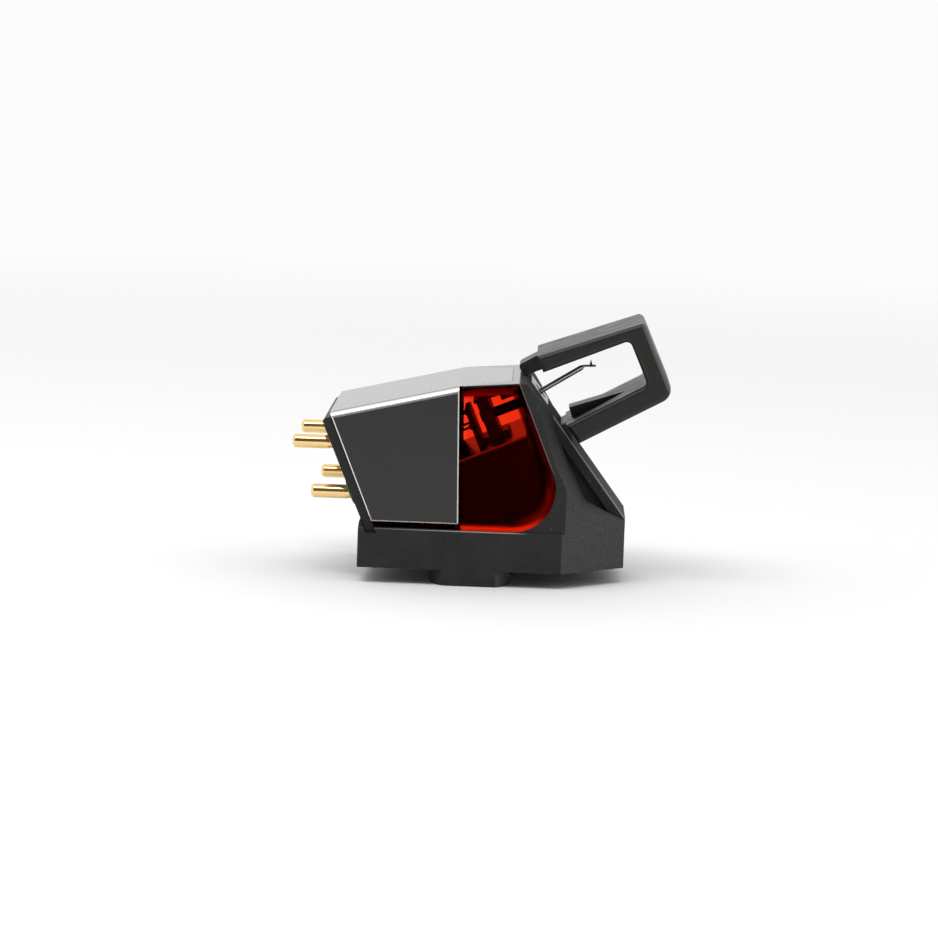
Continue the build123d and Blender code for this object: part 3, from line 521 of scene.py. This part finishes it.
# Clamp screw and tie wire. A slotted steel grub screw in the rear yoke pinches the drawn
# steel wire that the moving system hangs on.
TURNING_MARK = 0.05 * MM
turned_steel, tree, place = new_material("turned_steel")
marks = add(tree, "ShaderNodeTexNoise", {"Vector": place, "Scale": 1 / TURNING_MARK, "Detail": 1.0})
tone = add(tree, "ShaderNodeMix", {
    0: marks.outputs[0], 6: colour("94948f"), 7: colour("cfcfca"),
}, data_type="RGBA")
shader = add(tree, "ShaderNodeBsdfPrincipled", {
    "Base Color": tone.outputs[2],
    "Metallic": 1.0,
    "Roughness": 0.3,
})
add(tree, "ShaderNodeOutputMaterial", {"Surface": shader.outputs[0]})
dress(turned_steel, "clamp_screw", "suspension_wire")

# Terminal board and lead board. Both are sawn from phenolic laminate: the outer one black,
# the small one behind the yoke dark brown, with the cloth's weave just showing.
WEAVE = 0.25 * MM
WEAVE_DEPTH = 0.02 * MM
for name, node, dark, light in (
    ("black_phenolic_laminate", "terminal_board", "1a1a1b", "2b2b2c"),
    ("brown_phenolic_laminate", "lead_board", "1c100b", "2e1b12"),
):
    laminate, tree, place = new_material(name)
    weave = add(tree, "ShaderNodeTexVoronoi", {
        "Vector": place, "Scale": 1 / WEAVE, "Randomness": 0.35,
    })
    tone = add(tree, "ShaderNodeMix", {
        0: weave.outputs[0], 6: colour(light), 7: colour(dark),
    }, data_type="RGBA")
    relief = add(tree, "ShaderNodeBump", {
        "Strength": 0.2, "Distance": WEAVE_DEPTH, "Height": weave.outputs[0],
    })
    shader = add(tree, "ShaderNodeBsdfPrincipled", {
        "Base Color": tone.outputs[2],
        "Roughness": 0.5,
        "IOR": 1.55,
        "Specular IOR Level": 0.3,
        "Normal": relief.outputs[0],
    })
    add(tree, "ShaderNodeOutputMaterial", {"Surface": shader.outputs[0]})
    dress(laminate, node)

# Solder joints. A blob of tin solder holds each lead to the rear of the small board, two in an
# upper row and two further apart below. They are flattened balls, dull grey, left by the iron.
JOINT_RADIUS = 0.3 * MM
JOINT_FLATNESS = 0.8
SOLDER_GRAIN = 0.08 * MM
# Each row's place forward, to the side and up, in millimetres.
UPPER_ROW = (-0.8, 0.8, 14.156)
LOWER_ROW = (-0.331, 2.0, 13.051)
joints = bmesh.new()
for x, y, z in (UPPER_ROW, LOWER_ROW):
    for side in (1, -1):
        ball = bmesh.ops.create_icosphere(joints, subdivisions=2, radius=JOINT_RADIUS)
        points = ball["verts"]
        bmesh.ops.scale(joints, verts=points, vec=(JOINT_FLATNESS, 1, 1))
        bmesh.ops.rotate(joints, verts=points, matrix=Matrix.Rotation(-GENERATOR_TILT, 3, "Y"))
        bmesh.ops.translate(joints, verts=points, vec=Vector((x, side * y, z)) * MM)
for face in joints.faces:
    face.smooth = True
bmesh.ops.recalc_face_normals(joints, faces=joints.faces)
mesh = bpy.data.meshes.new("solder_joints")
joints.to_mesh(mesh)
joints.free()
solder, tree, place = new_material("tin_solder")
grains = add(tree, "ShaderNodeTexNoise", {"Vector": place, "Scale": 1 / SOLDER_GRAIN, "Detail": 2.0})
tone = add(tree, "ShaderNodeMix", {
    0: grains.outputs[0], 6: colour("5c5a58"), 7: colour("8e8c89"),
}, data_type="RGBA")
shader = add(tree, "ShaderNodeBsdfPrincipled", {
    "Base Color": tone.outputs[2],
    "Metallic": 1.0,
    "Roughness": 0.45,
})
add(tree, "ShaderNodeOutputMaterial", {"Surface": shader.outputs[0]})
mesh.materials.append(solder)
solder_joints = bpy.data.objects.new("solder_joints", mesh)
bpy.context.collection.objects.link(solder_joints)
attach(solder_joints, "cartridge")

# Terminal pins. Turned brass, gold-plated, pressed through the board. The plating is bright
# and keeps the faint turning rings of the brass beneath it.
RING = 0.12 * MM
RING_STRETCH = 0.08
pin_gold, tree, place = new_material("gold_plated_brass")
squeezed = add(tree, "ShaderNodeMapping", {
    "Vector": place, "Scale": (1.0, RING_STRETCH, RING_STRETCH),
})
rings = add(tree, "ShaderNodeTexNoise", {
    "Vector": squeezed.outputs[0], "Scale": 1 / RING, "Detail": 2.0,
})
tone = add(tree, "ShaderNodeMix", {
    0: rings.outputs[0], 6: colour("f4cb86"), 7: colour("fcdda2"),
}, data_type="RGBA")
worn = add(tree, "ShaderNodeMapRange", {
    0: rings.outputs[0], 1: NOISE_LOW, 2: NOISE_HIGH, 3: 0.1, 4: 0.18,
})
shader = add(tree, "ShaderNodeBsdfPrincipled", {
    "Base Color": tone.outputs[2],
    "Metallic": 1.0,
    "Roughness": worn.outputs[0],
})
add(tree, "ShaderNodeOutputMaterial", {"Surface": shader.outputs[0]})
channels = ("right_signal", "right_ground", "left_signal", "left_ground")
dress(pin_gold, *[f"pin_{channel}" for channel in channels])

# Coloured rings. Thin washers of dyed fibre stuck to the board at the roots of the pins, one
# colour for each wire of the tonearm.
FIBRE = 0.3 * MM
for channel, code, pale in zip(
    channels,
    ("b3241b", "1c6b3d", "d9d7d0", "213f92"),
    ("cf3a2e", "2b8450", "efede6", "3355ab"),
):
    collar, tree, place = new_material(f"dyed_fibre_{channel}")
    fleck = add(tree, "ShaderNodeTexNoise", {"Vector": place, "Scale": 1 / FIBRE, "Detail": 2.0})
    tone = add(tree, "ShaderNodeMix", {
        0: fleck.outputs[0], 6: colour(code), 7: colour(pale),
    }, data_type="RGBA")
    worn = add(tree, "ShaderNodeMapRange", {
        0: fleck.outputs[0], 1: NOISE_LOW, 2: NOISE_HIGH, 3: 0.4, 4: 0.55,
    })
    shader = add(tree, "ShaderNodeBsdfPrincipled", {
        "Base Color": tone.outputs[2],
        "Roughness": worn.outputs[0],
        "IOR": 1.49,
    })
    add(tree, "ShaderNodeOutputMaterial", {"Surface": shader.outputs[0]})
    dress(collar, f"collar_{channel}")

# Coils and leads. Fine copper wire under clear lacquer: the coils are wound in crossed
# bands on the former, the leads run from the small board to the pins.
TURN = 0.05 * MM
copper, tree, place = new_material("lacquered_copper_wire")
turns = add(tree, "ShaderNodeTexNoise", {"Vector": place, "Scale": 1 / TURN, "Detail": 1.0})
tone = add(tree, "ShaderNodeMix", {
    0: turns.outputs[0], 6: colour("8a4a24"), 7: colour("c9804a"),
}, data_type="RGBA")
shader = add(tree, "ShaderNodeBsdfPrincipled", {
    "Base Color": tone.outputs[2],
    "Metallic": 1.0,
    "Roughness": 0.3,
    "Coat Weight": 0.4,
})
add(tree, "ShaderNodeOutputMaterial", {"Surface": shader.outputs[0]})
dress(copper, "coil_left", "coil_right", *[f"lead_{channel}" for channel in channels])

# Cover. Thin aluminium sheet folded over the housing's rear half, bead-blasted and anodised
# dark grey. Its milled edges are polished after anodising, so each is a bright line. Along each
# fold a bright band is painted, a painted highlight, and the fold is smoother there.
# The dents of the beads are finer than a pixel and drawn as coarse as they need to show.
BEAD = 0.18 * MM
BEAD_DEPTH = 0.015 * MM
BEAD_RELIEF = 0.12
STREAK = 3.0 * MM
cover_anodised, tree, place = new_material("dark_anodised_aluminium")
facing = add(tree, "ShaderNodeTexCoord", {})
beads = add(tree, "ShaderNodeTexNoise", {"Vector": place, "Scale": 1 / BEAD, "Detail": 2.0})
streaks = add(tree, "ShaderNodeTexNoise", {"Vector": place, "Scale": 1 / STREAK, "Detail": 3.0})
blasted = add(tree, "ShaderNodeMix", {
    0: beads.outputs[0], 6: colour("1c1c1b"), 7: colour("363634"),
}, data_type="RGBA")
clouded = add(tree, "ShaderNodeMix", {
    0: streaks.outputs[0], 6: blasted.outputs[2], 7: colour("292928"),
}, data_type="RGBA")

# A milled edge looks half to the side and not up, a fold from the side round to the top.
MILLED_SIDE = 0.7071
MILLED_SPAN = 0.1
MILLED_UP = 0.2
FOLD_UP = 0.02
FOLD_START = 0.9998
FOLD_FULL = 0.985
FOLD_FADE = 0.6
FOLD_POLISH = 0.3
FOLD_END = 0.15
FOLD_FINISH = 0.34
parts = add(tree, "ShaderNodeSeparateXYZ", {0: facing.outputs["Normal"]})
sideways = add(tree, "ShaderNodeMath", {0: parts.outputs[1]}, operation="ABSOLUTE")
tilted = add(tree, "ShaderNodeMath", {
    0: sideways.outputs[0], 1: MILLED_SIDE, 2: MILLED_SPAN,
}, operation="COMPARE")
below = add(tree, "ShaderNodeMath", {0: parts.outputs[2], 1: MILLED_UP}, operation="LESS_THAN")
milled = add(tree, "ShaderNodeMath", {
    0: tilted.outputs[0], 1: below.outputs[0],
}, operation="MULTIPLY")
above = add(tree, "ShaderNodeMath", {0: parts.outputs[2], 1: FOLD_UP}, operation="GREATER_THAN")
# The fold's bright band is a painted highlight of the soft box above.
fold_in = add(tree, "ShaderNodeMapRange", {
    0: sideways.outputs[0], 1: FOLD_START, 2: FOLD_FULL, 3: 0.0, 4: 1.0,
})
fold_out = add(tree, "ShaderNodeMapRange", {
    0: sideways.outputs[0], 1: FOLD_END, 2: FOLD_FADE, 3: 0.0, 4: 1.0,
})
folded = add(tree, "ShaderNodeMath", {
    0: fold_in.outputs[0], 1: fold_out.outputs[0],
}, operation="MULTIPLY")
painted_highlight = add(tree, "ShaderNodeMath", {
    0: folded.outputs[0], 1: above.outputs[0],
}, operation="MULTIPLY")
milled_edge_and_fold_highlight = add(tree, "ShaderNodeMath", {
    0: milled.outputs[0], 1: painted_highlight.outputs[0],
}, operation="MAXIMUM")
# Bare metal on the milled edges, and a painted highlight along the folds.
tone = add(tree, "ShaderNodeMix", {
    0: milled_edge_and_fold_highlight.outputs[0], 6: clouded.outputs[2], 7: colour("eae8e4"),
}, data_type="RGBA")
bare = add(tree, "ShaderNodeMapRange", {0: milled.outputs[0], 1: 0.0, 2: 1.0, 3: 1.0, 4: 0.25})
worn = add(tree, "ShaderNodeMapRange", {
    0: beads.outputs[0], 1: NOISE_LOW, 2: NOISE_HIGH, 3: 0.2, 4: 0.3,
})
upper_fold = add(tree, "ShaderNodeMapRange", {
    0: sideways.outputs[0], 1: FOLD_END, 2: FOLD_POLISH, 3: 0.0, 4: 1.0,
})
polished = add(tree, "ShaderNodeMath", {
    0: upper_fold.outputs[0], 1: above.outputs[0],
}, operation="MULTIPLY")
grainy = add(tree, "ShaderNodeMapRange", {
    0: polished.outputs[0], 1: 0.0, 2: 1.0, 3: BEAD_RELIEF, 4: 0.0,
})
finish = add(tree, "ShaderNodeMix", {
    0: polished.outputs[0], 2: worn.outputs[0], 3: FOLD_FINISH,
})
relief = add(tree, "ShaderNodeBump", {
    "Strength": grainy.outputs[0], "Distance": BEAD_DEPTH, "Height": beads.outputs[0],
})
shader = add(tree, "ShaderNodeBsdfPrincipled", {
    "Base Color": tone.outputs[2],
    "Metallic": bare.outputs[0],
    "Roughness": finish.outputs[0],
    "Coat Weight": 0.65,
    "Coat Roughness": 0.12,
    "Normal": relief.outputs[0],
})
add(tree, "ShaderNodeOutputMaterial", {"Surface": shader.outputs[0]})
dress(cover_anodised, "metal_cover")

# Damper. A soft butyl rubber ring between the pole pin and the moving system, punched from
# sheet and matte black. The tie wire pulls the cantilever's root against it.
BLOOM = 0.3 * MM
rubber, tree, place = new_material("butyl_rubber")
bloom = add(tree, "ShaderNodeTexNoise", {"Vector": place, "Scale": 1 / BLOOM, "Detail": 3.0})
tone = add(tree, "ShaderNodeMix", {
    0: bloom.outputs[0], 6: colour("151515"), 7: colour("2b2a29"),
}, data_type="RGBA")
shader = add(tree, "ShaderNodeBsdfPrincipled", {
    "Base Color": tone.outputs[2],
    "Roughness": 0.85,
    "IOR": 1.52,
})
add(tree, "ShaderNodeOutputMaterial", {"Surface": shader.outputs[0]})
dress(rubber, "damper_ring")

# Cantilever. Drawn aluminium tube, crushed flat at its tip: light grey with faint lines
# along the draw.
DRAW_LINE = 0.06 * MM
DRAW_STRETCH = 0.06
DRAW_TILT = radians(32.2)
cantilever_tube, tree, place = new_material("drawn_aluminium_tube")
along_tube = add(tree, "ShaderNodeMapping", {
    "Vector": place, "Rotation": (0, DRAW_TILT, 0), "Scale": (DRAW_STRETCH, 1, 1),
})
lines = add(tree, "ShaderNodeTexNoise", {
    "Vector": along_tube.outputs[0], "Scale": 1 / DRAW_LINE, "Detail": 2.0,
})
tone = add(tree, "ShaderNodeMix", {
    0: lines.outputs[0], 6: colour("c4c1bd"), 7: colour("e6e3df"),
}, data_type="RGBA")
shader = add(tree, "ShaderNodeBsdfPrincipled", {
    "Base Color": tone.outputs[2],
    "Metallic": 1.0,
    "Roughness": 0.36,
})
add(tree, "ShaderNodeOutputMaterial", {"Surface": shader.outputs[0]})
dress(cantilever_tube, "cantilever")

# Stylus. A ground diamond set through the crushed tip: smoky and see-through, it reads as a
# dark point against the light.
FACET = 0.05 * MM
diamond, tree, place = new_material("ground_diamond")
facets = add(tree, "ShaderNodeTexNoise", {"Vector": place, "Scale": 1 / FACET, "Detail": 1.0})
tone = add(tree, "ShaderNodeMix", {
    0: facets.outputs[0], 6: colour("2c2824"), 7: colour("5a544c"),
}, data_type="RGBA")
shader = add(tree, "ShaderNodeBsdfPrincipled", {
    "Base Color": tone.outputs[2],
    "Roughness": 0.05,
    "IOR": 2.42,
    "Transmission Weight": 0.4,
})
add(tree, "ShaderNodeOutputMaterial", {"Surface": shader.outputs[0]})
dress(diamond, "stylus")

# Stylus guard. A black polypropylene moulding that slides off over the stylus, matte, with a
# low sheen where it faces the light at a shallow angle. Its grain is drawn coarser than it is,
# so that it shows.
GUARD_GRAIN = 0.2 * MM
GUARD_GRAIN_DEPTH = 0.03 * MM
guard_plastic, tree, place = new_material("black_matte_polypropylene")
grain = add(tree, "ShaderNodeTexNoise", {
    "Vector": place, "Scale": 1 / GUARD_GRAIN, "Detail": 2.0, "Roughness": 0.6,
})
mottle = add(tree, "ShaderNodeTexNoise", {"Vector": place, "Scale": 1 / MOTTLE, "Detail": 3.0})
fine = add(tree, "ShaderNodeMix", {
    0: grain.outputs[0], 6: colour("161514"), 7: colour("2a2826"),
}, data_type="RGBA")
tone = add(tree, "ShaderNodeMix", {
    0: mottle.outputs[0], 6: fine.outputs[2], 7: colour("23211f"),
}, data_type="RGBA")
sheen = add(tree, "ShaderNodeMapRange", {
    0: mottle.outputs[0], 1: NOISE_LOW, 2: NOISE_HIGH, 3: 0.34, 4: 0.46,
})
relief = add(tree, "ShaderNodeBump", {
    "Strength": 0.25, "Distance": GUARD_GRAIN_DEPTH, "Height": grain.outputs[0],
})
shader = add(tree, "ShaderNodeBsdfPrincipled", {
    "Base Color": tone.outputs[2],
    "Roughness": sheen.outputs[0],
    "IOR": 1.49,
    "Specular IOR Level": 0.4,
    "Normal": relief.outputs[0],
})
add(tree, "ShaderNodeOutputMaterial", {"Surface": shader.outputs[0]})
dress(guard_plastic, "stylus_guard")

# Table. A round sheet of white card that takes the soft shadow and fades out into the white
# room well away from the object.
CARD_RADIUS = 420 * MM
CARD_SEGMENTS = 96
CARD_FIBRE = 2 * MM
FADE_START = 130 * MM
table = bmesh.new()
bmesh.ops.create_circle(table, cap_ends=True, segments=CARD_SEGMENTS, radius=CARD_RADIUS)
mesh = bpy.data.meshes.new("white_card")
table.to_mesh(mesh)
table.free()
white_card = bpy.data.objects.new("white_card", mesh)
bpy.context.collection.objects.link(white_card)
card, tree, place = new_material("white_card")
fibre = add(tree, "ShaderNodeTexNoise", {"Vector": place, "Scale": 1 / CARD_FIBRE, "Detail": 2.0})
tone = add(tree, "ShaderNodeMix", {
    0: fibre.outputs[0], 6: colour("f6f6f6"), 7: colour("f8f8f8"),
}, data_type="RGBA")
shader = add(tree, "ShaderNodeBsdfPrincipled", {
    "Base Color": tone.outputs[2],
    "Roughness": 0.9,
    "Specular IOR Level": 0.1,
})
reach = add(tree, "ShaderNodeVectorMath", {0: place}, operation="LENGTH")
fade = add(tree, "ShaderNodeMapRange", {
    0: reach.outputs["Value"], 1: FADE_START, 2: CARD_RADIUS, 3: 0.0, 4: 1.0,
}, interpolation_type="SMOOTHSTEP")
clear = add(tree, "ShaderNodeBsdfTransparent", {})
edge = add(tree, "ShaderNodeMixShader", {
    0: fade.outputs[0], 1: shader.outputs[0], 2: clear.outputs[0],
})
add(tree, "ShaderNodeOutputMaterial", {"Surface": edge.outputs[0]})
mesh.materials.append(card)

# Studio light. A long soft box above, in front and to the left, in a white room that is left
# dark behind the camera, so that round metal shows a dark band along its length. Only reflected
# light meets the dark part: the background stays white from every side.
LAMP_LENGTH = 360 * MM
LAMP_WIDTH = 90 * MM
LAMP_POWER = 0.6
LAMP_PLACE = Vector((-90, -170, 370)) * MM
LAMP_AIM = Vector((90, 170, -360))
DARK_UNTIL = -0.85
WHITE_FROM = -0.35
lamp = bpy.data.lights.new("overhead_strip", "AREA")
lamp.shape = "RECTANGLE"
lamp.size = LAMP_LENGTH
lamp.size_y = LAMP_WIDTH
lamp.energy = LAMP_POWER
light = bpy.data.objects.new("overhead_strip", lamp)
light.location = LAMP_PLACE
light.rotation_euler = LAMP_AIM.to_track_quat("-Z", "Y").to_euler()
bpy.context.collection.objects.link(light)
world = bpy.data.worlds.new("white_room")
world.use_nodes = True
tree = world.node_tree
ways = add(tree, "ShaderNodeTexCoord", {})
split = add(tree, "ShaderNodeSeparateXYZ", {0: ways.outputs["Generated"]})
unlit = add(tree, "ShaderNodeMapRange", {
    0: split.outputs[1], 1: DARK_UNTIL, 2: WHITE_FROM, 3: 0.0, 4: 1.0,
}, interpolation_type="SMOOTHSTEP")
ray = add(tree, "ShaderNodeLightPath", {})
seen = add(tree, "ShaderNodeMath", {
    0: ray.outputs["Is Camera Ray"], 1: ray.outputs["Is Transmission Ray"],
}, operation="MAXIMUM")
white = add(tree, "ShaderNodeMath", {
    0: unlit.outputs[0], 1: seen.outputs[0],
}, operation="MAXIMUM")
wall = add(tree, "ShaderNodeMix", {
    0: white.outputs[0], 6: colour("5c5c5c"), 7: colour("fcfcfc"),
}, data_type="RGBA")
tree.links.new(wall.outputs[2], tree.nodes["Background"].inputs["Color"])
bpy.context.scene.world = world

# Camera. It stands where the photograph was taken from: a little above the object, tipped down
# towards it and turned clockwise by about two degrees.
CAMERA_PLACE = Vector((5.64, -307.85, 48.69)) * MM
CAMERA_PITCH = radians(7.34)
CAMERA_YAW = radians(1.137)
CAMERA_ROLL = radians(2.025)
CAMERA_SENSOR = 36.0
CAMERA_LENS = 135.17
CAMERA_NEAR = 0.01
CAMERA_FAR = 10.0
ahead = Vector((
    -sin(CAMERA_YAW) * cos(CAMERA_PITCH),
    cos(CAMERA_YAW) * cos(CAMERA_PITCH),
    -sin(CAMERA_PITCH),
))
right = Vector((cos(CAMERA_YAW), sin(CAMERA_YAW), 0))
down = ahead.cross(right)
image_right = cos(CAMERA_ROLL) * right - sin(CAMERA_ROLL) * down
image_down = sin(CAMERA_ROLL) * right + cos(CAMERA_ROLL) * down
camera = bpy.data.objects.new("camera", bpy.data.cameras.new("camera"))
camera.data.sensor_width = CAMERA_SENSOR
camera.data.lens = CAMERA_LENS
camera.data.clip_start = CAMERA_NEAR
camera.data.clip_end = CAMERA_FAR
turn = Matrix((image_right, -image_down, -ahead)).transposed()
camera.matrix_world = Matrix.Translation(CAMERA_PLACE) @ turn.to_4x4()
bpy.context.collection.objects.link(camera)
bpy.context.scene.camera = camera
bpy.context.scene.view_settings.view_transform = "Standard"
